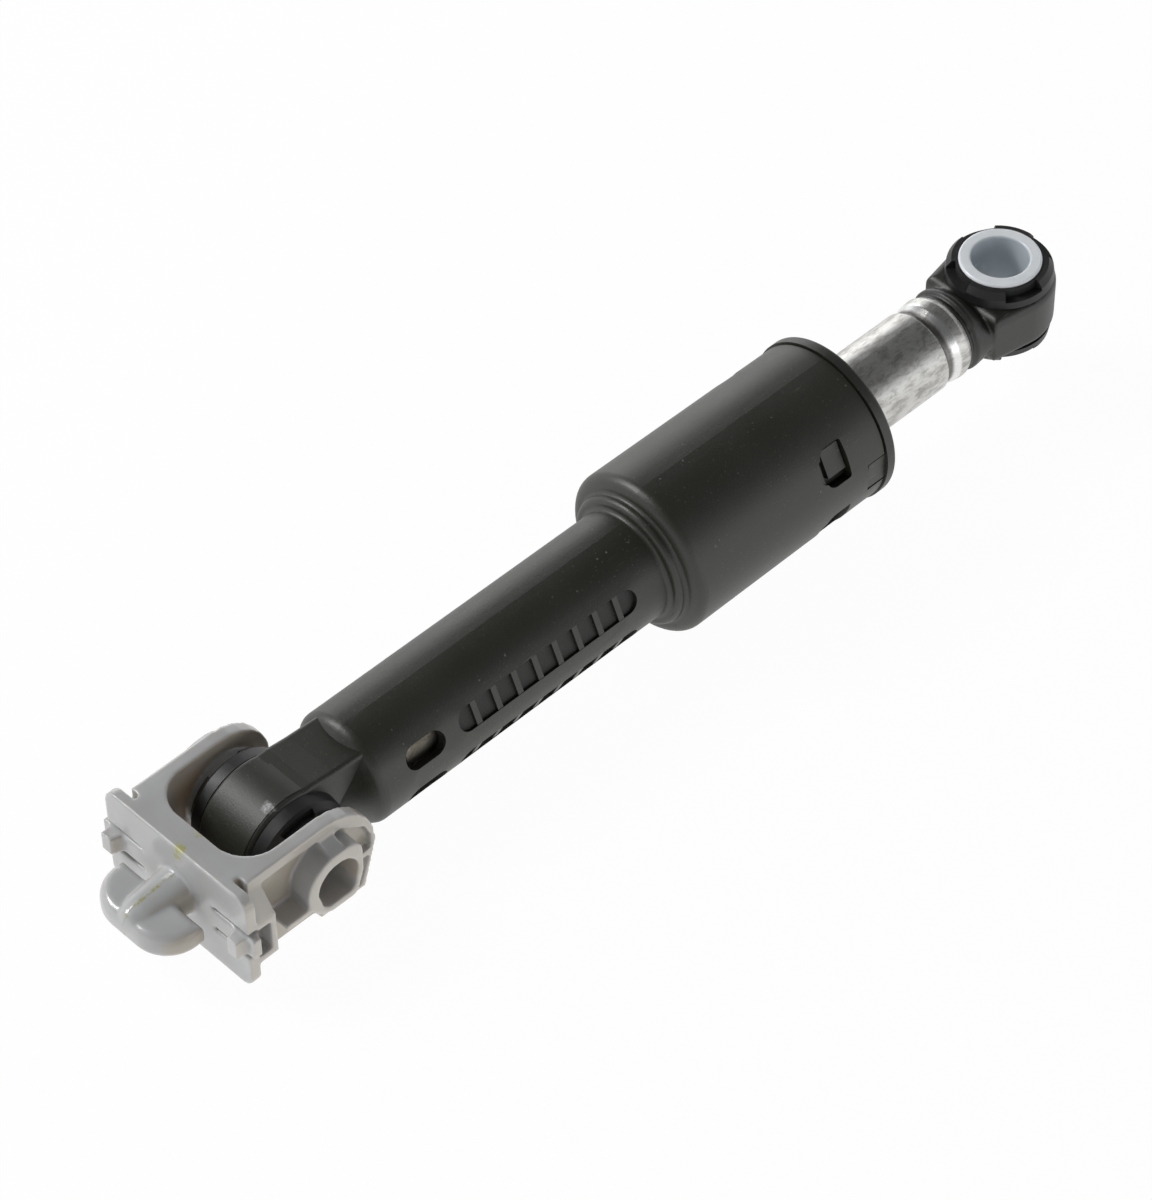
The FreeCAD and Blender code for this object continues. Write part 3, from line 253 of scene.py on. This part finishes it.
def housing_finish(name, tone=0.011, painted_shade_and_patch=True):
    """Charcoal black glass-filled plastic with a fine grain, dust, scratches, painted shade in its
    recesses and a pale patch.
    """
    finish = Finish(name, 0.42, IOR=1.5, Specular_IOR_Level=0.68)
    cloud = finish.noise(22 * MM, 3.0)
    grain = finish.noise(0.3 * MM, 3.0, 0.65)
    streak = finish.noise(2.5 * MM, 4.0, 0.6, finish.stretched((0.12, 1.0, 1.0)))
    dark = (tone * 1.08, tone * 1.12, tone * 0.62)
    light = (tone * 1.7, tone * 1.75, tone * 1.2)
    colour = finish.mix(cloud.step(0.3, 0.8) * 0.7 + streak.step(0.5, 0.9) * 0.3, dark, light)
    specks = 1.0 - finish.cells(3.1 * MM).step(0.03, 0.09)
    fine = 1.0 - finish.cells(1.1 * MM).step(0.08, 0.2)
    dust = specks.peak(fine * 0.3) * finish.noise(7 * MM, 2.0).step(0.4, 0.6)
    colour = finish.mix(dust * 0.5, colour, (0.24, 0.23, 0.19))
    nick = finish.noise(0.5 * MM, 2.0, 0.5, finish.stretched((0.05, 1.0, 1.0), (0.3, 0.5, 0.9)))
    scratch = nick.step(0.70, 0.76) * finish.noise(12 * MM, 2.0).step(0.48, 0.6)
    colour = finish.mix(scratch * 0.35, colour, (0.16, 0.16, 0.14))
    roughness = 0.40 + cloud * 0.12 + dust * 0.2
    if painted_shade_and_patch:
        # Painted shade: the ribbed rows' floors and the window's walls are painted dark, and they
        # are also dull
        low = finish.within(0, (0.0, 0.0, 0.0), 11.4 * MM, 0.25 * MM)
        low = low * finish.axis(0).step(HINGE_X + 24.0 * MM, HINGE_X + 25.0 * MM)
        colour = finish.mix(low * 0.6, colour, (0.004, 0.004, 0.003))
        roughness = roughness + low * 0.2
        # A pale grey, glossier patch with a ragged edge on the eye's top
        ragged = (finish.noise(1.1 * MM, 3.0, 0.7) - 0.5) * (3 * MM)
        pale_patch = finish.spot((HINGE_X - 3.2 * MM, -4.6 * MM, 10.9 * MM), 0.9 * MM, 0.7 * MM, ragged)
        colour = finish.mix(pale_patch * 0.8, colour, (0.5, 0.5, 0.5))
        roughness = roughness - pale_patch * 0.1
    finish.set("Base Color", colour)
    finish.set("Roughness", roughness)
    finish.set("Normal", finish.bump(grain + streak * 0.4, 0.45, 0.09 * MM))
    return finish.material


def rubber_finish(name, tone):
    """Matt rubber with a dry bloom."""
    finish = Finish(name, 0.6, IOR=1.45)
    bloom = finish.noise(3.5 * MM, 4.0, 0.6)
    grain = finish.noise(0.3 * MM, 2.0)
    bright = (tone * 2.1, tone * 2.1, tone * 2.05)
    finish.set("Base Color", finish.mix(bloom.step(0.4, 0.8), (tone, tone, tone), bright))
    finish.set("Roughness", 0.36 + bloom * 0.22)
    finish.set("Normal", finish.bump(grain + bloom * 0.5, 0.3, 0.08 * MM))
    return finish.material


def rod_finish():
    """Dull drawn steel, blotched and finely scored along its length."""
    finish = Finish("drawn_steel", 0.32, 1.0)
    blotch = finish.noise(1.5 * MM, 6.0, 0.72, finish.stretched((0.4, 1.0, 1.0)), 0.3)
    score = finish.noise(0.5 * MM, 3.0, 0.6, finish.stretched((0.06, 1.0, 1.0)))
    pits = 1.0 - finish.cells(0.7 * MM).step(0.02, 0.2)
    colour = finish.mix(blotch.step(0.42, 0.64), (0.58, 0.575, 0.555), (0.34, 0.33, 0.31))
    colour = finish.mix(score.step(0.5, 0.8) * 0.4, colour, (0.72, 0.71, 0.69))
    colour = finish.mix(pits * 0.3, colour, (0.16, 0.15, 0.14))

    # Painted shade in the crimped groove, and a painted highlight on its shoulder, which is also
    # made smoother
    groove = finish.axis(0) - GROOVE_X
    painted_groove_shade = 1.0 - abs(groove + 0.5 * MM).step(0.4 * MM, 1.1 * MM)
    painted_shoulder_highlight = 1.0 - abs(groove - 1.3 * MM).step(0.4 * MM, 1.1 * MM)
    colour = finish.mix(painted_shoulder_highlight * 0.75, colour, (0.86, 0.86, 0.85))
    colour = finish.mix(painted_groove_shade * 0.8, colour, (0.09, 0.085, 0.08))

    # Inside the tube the rod is darker, yellow-brown and rougher
    inside = 1.0 - finish.axis(0).step(-100.0 * MM, -80.0 * MM)
    colour = finish.mix(inside * (0.6 + blotch * 0.4), colour, (0.11, 0.095, 0.06))
    finish.set("Base Color", colour)
    finish.set("Roughness", 0.29 + blotch * 0.16 + pits * 0.1 + inside * 0.15 - painted_shoulder_highlight * 0.1)
    height = score * 0.5 + blotch * 0.4 - pits * 0.4
    finish.set("Normal", finish.bump(height, 0.25, 0.03 * MM))
    return finish.material


def sleeve_finish():
    """Hard bluish-white plastic, glossy and a little see-through."""
    finish = Finish("sleeve_white", 0.22, IOR=1.5, Subsurface_Weight=0.2, Subsurface_Scale=0.002)
    finish.shader.inputs["Subsurface Radius"].default_value = (0.8, 0.9, 1.0)
    cloud = finish.noise(5 * MM, 3.0)
    turning = finish.noise(0.5 * MM, 2.0, 0.5, finish.stretched((0.08, 0.08, 1.0)))
    colour = finish.mix(cloud.step(0.3, 0.8), (0.80, 0.83, 0.85), (0.72, 0.76, 0.79))
    # Painted shade: the bore is painted darker and bluer
    painted_bore_shade = finish.within(2, (0.0, 0.0, 0.0), 6.1 * MM, 0.2 * MM)
    colour = finish.mix(painted_bore_shade * 0.7, colour, (0.36, 0.41, 0.45))
    finish.set("Base Color", colour)
    finish.set("Roughness", 0.18 + cloud * 0.14)
    finish.set("Normal", finish.bump(turning, 0.15, 0.04 * MM))
    return finish.material


def inner_finish(name, pale, dark, roughness, size, metallic=0.0):
    """A finish for a part inside the damper: two tones, a grain and a little relief."""
    finish = Finish(name, roughness, metallic)
    cloud = finish.noise(size, 4.0, 0.6)
    grain = finish.noise(size * 0.12, 2.0)
    finish.set("Base Color", finish.mix(cloud.step(0.3, 0.75), pale, dark))
    finish.set("Roughness", roughness + cloud * 0.15)
    finish.set("Normal", finish.bump(grain, 0.3, size * 0.02))
    return finish.material


def mould(name, body, piece_name, grid, rounds):
    """A node's own shape with the soft edges of a moulding, in its place."""
    mesh = NODES[name].data.copy()
    merged = bmesh.new()
    merged.from_mesh(mesh)
    bmesh.ops.remove_doubles(merged, verts=merged.verts, dist=WELD)
    merged.to_mesh(mesh)
    merged.free()
    piece = bpy.data.objects.new(piece_name, mesh)
    bpy.context.scene.collection.objects.link(piece)
    skin = piece.modifiers.new("skin", "REMESH")
    skin.mode = "VOXEL"
    skin.voxel_size = grid
    skin.use_smooth_shade = True
    soften = piece.modifiers.new("soften", "SMOOTH")
    soften.factor = 0.5
    soften.iterations = rounds
    view = bpy.context.evaluated_depsgraph_get()
    solid = bpy.data.meshes.new_from_object(piece.evaluated_get(view))
    piece.modifiers.clear()
    piece.data = solid
    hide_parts(name)
    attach(piece, body)
    return piece


def seam_tree(material):
    """Nodes that turn a line of points into a thin raised seam."""
    tree = bpy.data.node_groups.new("mould_seam", "GeometryNodeTree")
    sockets = tree.interface
    sockets.new_socket("Line", in_out="INPUT", socket_type="NodeSocketGeometry")
    sockets.new_socket("Seam Radius", in_out="INPUT", socket_type="NodeSocketFloat")
    sockets.new_socket("Spacing", in_out="INPUT", socket_type="NodeSocketFloat")
    sockets.new_socket("Seam", in_out="OUTPUT", socket_type="NodeSocketGeometry")
    kinds = ("NodeGroupInput", "GeometryNodeMeshToCurve", "GeometryNodeResampleCurve",
             "GeometryNodeCurvePrimitiveCircle", "GeometryNodeCurveToMesh",
             "GeometryNodeRealizeInstances", "GeometryNodeSetMaterial", "NodeGroupOutput")
    entry, curve, even, ring, sweep, real, paint, leave = [tree.nodes.new(kind) for kind in kinds]
    even.mode = "LENGTH"
    ring.inputs["Resolution"].default_value = 8
    sweep.inputs["Fill Caps"].default_value = True
    paint.inputs["Material"].default_value = material
    tree.links.new(entry.outputs["Line"], curve.inputs[0])
    tree.links.new(curve.outputs[0], even.inputs["Curve"])
    tree.links.new(entry.outputs["Spacing"], even.inputs["Length"])
    tree.links.new(entry.outputs["Seam Radius"], ring.inputs["Radius"])
    tree.links.new(even.outputs[0], sweep.inputs["Curve"])
    tree.links.new(ring.outputs[0], sweep.inputs["Profile Curve"])
    tree.links.new(sweep.outputs[0], real.inputs[0])
    tree.links.new(real.outputs[0], paint.inputs["Geometry"])
    tree.links.new(paint.outputs[0], leave.inputs[0])
    return tree


def surface_line(carrier, starts, direction, sink):
    """Where rays from the starts meet the carrier, sunk a little below its surface."""
    skin = BVHTree.FromObject(carrier, bpy.context.evaluated_depsgraph_get())
    met = [skin.ray_cast(Vector(start), Vector(direction)) for start in starts]
    return [place - normal * sink for place, normal, face, far in met if place is not None]


def add_seam(name, body, points, radius, material):
    """A raised mould seam along a line of points."""
    mesh = bpy.data.meshes.new(name)
    mesh.from_pydata(points, [(step, step + 1) for step in range(len(points) - 1)], [])
    seam = bpy.data.objects.new(name, mesh)
    bpy.context.scene.collection.objects.link(seam)
    modifier = seam.modifiers.new("seam", "NODES")
    modifier.node_group = seam_tree(material)
    given = {"Seam Radius": radius, "Spacing": 2.0 * radius}
    for item in modifier.node_group.interface.items_tree:
        if item.name in given:
            modifier[item.identifier] = given[item.name]
    view = bpy.context.evaluated_depsgraph_get()
    solid = bpy.data.meshes.new_from_object(seam.evaluated_get(view))
    seam.modifiers.clear()
    seam.data = solid
    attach(seam, body)
    return seam


def add_foot_seam(fork):
    """The seam over the foot's spine, from the plate to the foot's nose and down it."""
    top = [(HINGE_X - SPINE_START - SPINE_STEP * step, 0.0, ABOVE_FOOT)
           for step in range(SPINE_RAYS)]
    line = surface_line(fork, top, (0.0, 0.0, -1.0), SEAM_SINK)
    low = line[-1].z
    front = [(HINGE_X - BEFORE_FOOT, 0.0, low - NOSE_STEP * step)
             for step in range(1, NOSE_RAYS + 1)]
    line += surface_line(fork, front, (1.0, 0.0, 0.0), SEAM_SINK)
    edge = cad_box[0][0] + SEAM_RADIUS
    points = [(max(point.x, edge), point.y, point.z) for point in line]
    seam = add_seam("foot_seam", "fork", points, SEAM_RADIUS, fork.data.materials[0])


def dress(names, material):
    """Gives CAD nodes one finish."""
    for name in names:
        data = NODES[name].data
        data.materials.clear()
        data.materials.append(material)


def dress_all():
    """Every sub-part's finish."""
    dress(["fork_bracket"], fork_finish())
    dress(["housing"], housing_finish("housing_black"))
    dress(["chamber_cap"], housing_finish("cap_black", 0.009, painted_shade_and_patch=False))
    dress(["rod_eye"], housing_finish("eye_black", 0.006, painted_shade_and_patch=False))
    dress(["lower_bush", "upper_bush"], rubber_finish("bush_rubber", 0.011))
    dress(["rod_wiper", "stop_ring_lower", "stop_ring_upper"], rubber_finish("stop_rubber", 0.02))
    dress(["rod_tube"], rod_finish())
    dress(["upper_sleeve"], sleeve_finish())
    dress(["unit_washer_lower", "unit_washer_upper"],
          inner_finish("washer_steel", (0.5, 0.5, 0.5), (0.3, 0.3, 0.3), 0.35, 2 * MM, 1.0))
    dress(["lining_carrier_top", "lining_carrier_bottom", "rod_plug"],
          inner_finish("natural_plastic", (0.5, 0.47, 0.36), (0.4, 0.36, 0.25), 0.4, 6 * MM))
    dress(["friction_lining_lower", "friction_lining_upper"],
          inner_finish("greased_lining", (0.22, 0.2, 0.12), (0.1, 0.09, 0.05), 0.5, 1.5 * MM))
    dress(["guide_ring"],
          inner_finish("guide_plastic", (0.62, 0.6, 0.5), (0.5, 0.47, 0.36), 0.35, 3 * MM))


def add_floor():
    """A pale lit table under the fork and the chamber, with a faint shadow."""
    finish = Finish("floor_white", 0.9)
    finish.set("Base Color", (0.94, 0.94, 0.94))
    seen = finish.node("ShaderNodeLightPath", {}, {}, "Is Camera Ray")
    glow = finish.node("ShaderNodeEmission", {}, {0: (1.0, 1.0, 1.0), 1: 1.0})
    lift = TABLE_GLOW + seen * (FLOOR_LIFT - TABLE_GLOW)
    body = Value(finish, finish.shader.outputs[0])
    both = finish.node("ShaderNodeMixShader", {}, {0: lift, 1: body, 2: glow})
    finish.tree.links.new(both.socket, finish.output.inputs[0])
    mesh = bpy.data.meshes.new("floor")
    half = FLOOR_HALF
    drop = math.tan(FLOOR_TILT)
    corners = [(x, y, FLOOR_LOW - drop * (x - CONTACT_X)) for x, y in
               ((-half, -half), (half, -half), (half, half), (-half, half))]
    mesh.from_pydata(corners, [], [(0, 1, 2, 3)])
    mesh.materials.append(finish.material)
    floor = bpy.data.objects.new("floor", mesh)
    bpy.context.scene.collection.objects.link(floor)


# The chamber's lowest line and the fork's lower edge carry the damper
CONTACT_X = HINGE_X + 97.0 * MM
FLOOR_LOW = -17.8 * MM
FLOOR_TILT = math.radians(2.75)
FLOOR_HALF = 3.0

# The table's own glow, as the camera sees it and as it lights the part
FLOOR_LIFT = 0.97
TABLE_GLOW = 0.96

# The room's light by height, from the table's edge to overhead
ROOM_LOW = 0.1
ROOM_HIGH = 0.6
ROOM_EDGE = 1.2
ROOM_TOP = 0.12

# Lamps as (name, place, side, watts), all aimed at the damper's middle
LAMP_AIM = (-0.1, 0.0, 0.0)
LAMPS = (("key_lamp", (-0.65, 0.85, 0.95), 0.45, 13.0),
         ("back_lamp", (0.7, 1.25, 0.25), 0.8, 2.6),
         ("front_lamp", (0.1, -1.35, 0.05), 0.8, 2.4))

# The photograph's camera, from its fit on the damper's axis and the fork's corners
CAMERA_PLACE = Vector((-0.56003, -0.46397, 0.69772))
CAMERA_RIGHT = Vector((0.71559, -0.69842, -0.01199))
CAMERA_UP = Vector((0.52052, 0.52172, 0.67592))
LENS = 149.1


def add_camera():
    """The camera at the photograph's viewing angle."""
    data = bpy.data.cameras.new("camera")
    data.sensor_width = 36.0
    data.lens = LENS
    data.clip_start = 0.01
    data.clip_end = 20.0
    camera = bpy.data.objects.new("camera", data)
    bpy.context.scene.collection.objects.link(camera)
    right = CAMERA_RIGHT.normalized()
    back = right.cross(CAMERA_UP).normalized()
    up = back.cross(right)
    rows = Matrix((right, up, back)).transposed()
    camera.matrix_world = Matrix.Translation(CAMERA_PLACE) @ rows.to_4x4()
    bpy.context.scene.camera = camera


def add_lamp(name, place, aim, size, power):
    """A soft square lamp aimed at a point."""
    data = bpy.data.lights.new(name, "AREA")
    data.shape = "SQUARE"
    data.size = size
    data.energy = power
    lamp = bpy.data.objects.new(name, data)
    bpy.context.scene.collection.objects.link(lamp)
    lamp.location = place
    lamp.rotation_euler = (Vector(aim) - Vector(place)).to_track_quat("-Z", "Y").to_euler()


def add_light():
    """Three soft lamps, and a room that is bright round the table and dim overhead."""
    for name, place, side, power in LAMPS:
        add_lamp(name, place, LAMP_AIM, side, power)
    world = bpy.data.worlds.new("room")
    world.use_nodes = True
    tree = world.node_tree
    tree.nodes.clear()
    output = tree.nodes.new("ShaderNodeOutputWorld")
    seen = tree.nodes.new("ShaderNodeBackground")
    seen.inputs[0].default_value = (1.0, 1.0, 1.0, 1.0)
    seen.inputs[1].default_value = 1.0
    room = tree.nodes.new("ShaderNodeBackground")
    room.inputs[0].default_value = (0.97, 0.98, 1.0, 1.0)
    place = tree.nodes.new("ShaderNodeTexCoord")
    height = tree.nodes.new("ShaderNodeSeparateXYZ")
    fade = tree.nodes.new("ShaderNodeMapRange")
    fade.interpolation_type = "SMOOTHSTEP"
    for socket, number in zip(fade.inputs[1:5], (ROOM_LOW, ROOM_HIGH, ROOM_EDGE, ROOM_TOP)):
        socket.default_value = number
    tree.links.new(place.outputs["Generated"], height.inputs[0])
    tree.links.new(height.outputs[2], fade.inputs[0])
    tree.links.new(fade.outputs[0], room.inputs[1])
    path = tree.nodes.new("ShaderNodeLightPath")
    mix = tree.nodes.new("ShaderNodeMixShader")
    tree.links.new(path.outputs["Is Camera Ray"], mix.inputs[0])
    tree.links.new(room.outputs[0], mix.inputs[1])
    tree.links.new(seen.outputs[0], mix.inputs[2])
    tree.links.new(mix.outputs[0], output.inputs[0])
    bpy.context.scene.world = world


add_camera()
add_light()
add_floor()
dress_all()
fork_moulding = mould("fork_bracket", "fork", "fork_moulding", FORK_GRID,
                      FORK_ROUNDS)
mould("rod_eye", "rod", "eye_moulding", EYE_GRID, EYE_ROUNDS)
add_foot_seam(fork_moulding)
bpy.context.scene.view_settings.view_transform = "Standard"
